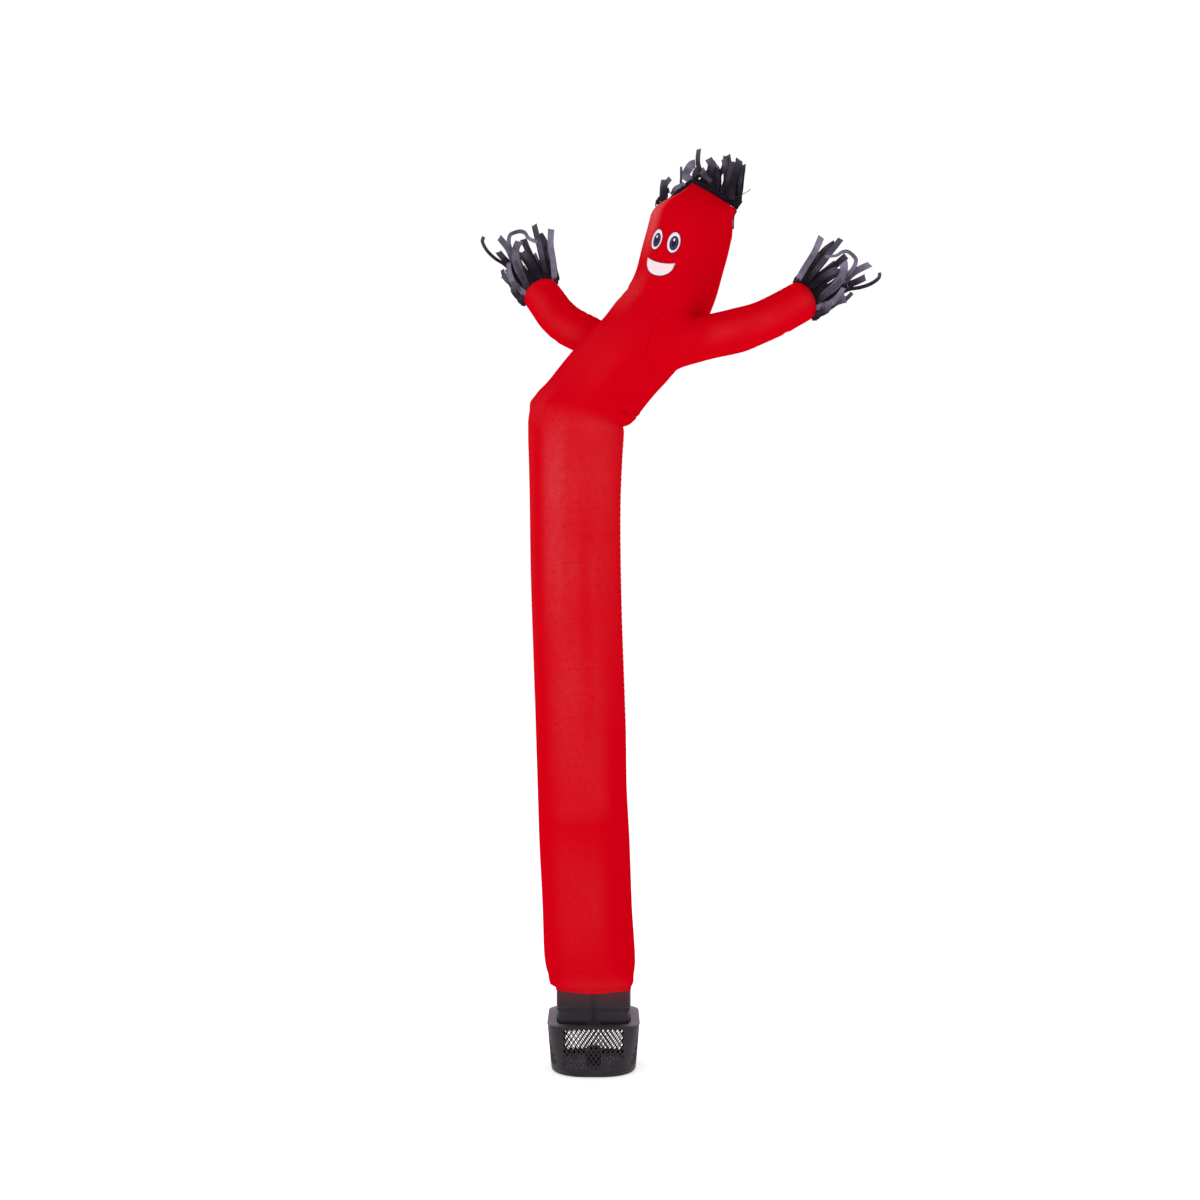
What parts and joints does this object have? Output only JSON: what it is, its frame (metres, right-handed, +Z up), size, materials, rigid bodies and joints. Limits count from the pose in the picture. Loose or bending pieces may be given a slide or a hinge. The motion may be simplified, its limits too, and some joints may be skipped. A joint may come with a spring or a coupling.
{
  "type": "inflatable air dancer and floor blower",
  "caption": "Tall bent fabric tube figure with a smiling face, two sleeves and ribbon fringes at head and hands, on a low square plastic floor blower with a mesh guard.",
  "frame": {"origin": "middle of the blower's underside, on the floor", "axes": "+Z up along the tube, -Y towards the side that the face looks to, +X to the face's left hand, the side that the head leans to"},
  "size_m": [1.3244, 0.76, 3.1173],
  "materials": {
    "red_cloth": "thin woven nylon, slight sheen",
    "black_ribbon": "thin woven nylon streamers",
    "black_plastic": "moulded, satin",
    "motor_enamel": "satin black enamel"
  },
  "bodies": {
    "root": {"base_pan": "black_plastic", "guard": "black_plastic", "cable_gland": "black_plastic", "motor_pod": "motor_enamel", "bracket_front": "black_plastic", "bracket_right": "black_plastic", "bracket_back": "black_plastic", "bracket_left": "black_plastic", "collar_duct": "black_plastic", "body_tube": "red_cloth", "sleeve_left": "red_cloth", "sleeve_right": "red_cloth", "hair_fringe": "black_ribbon", "hand_fringe_left": "black_ribbon", "hand_fringe_right": "black_ribbon"}
  },
  "joints": []
}
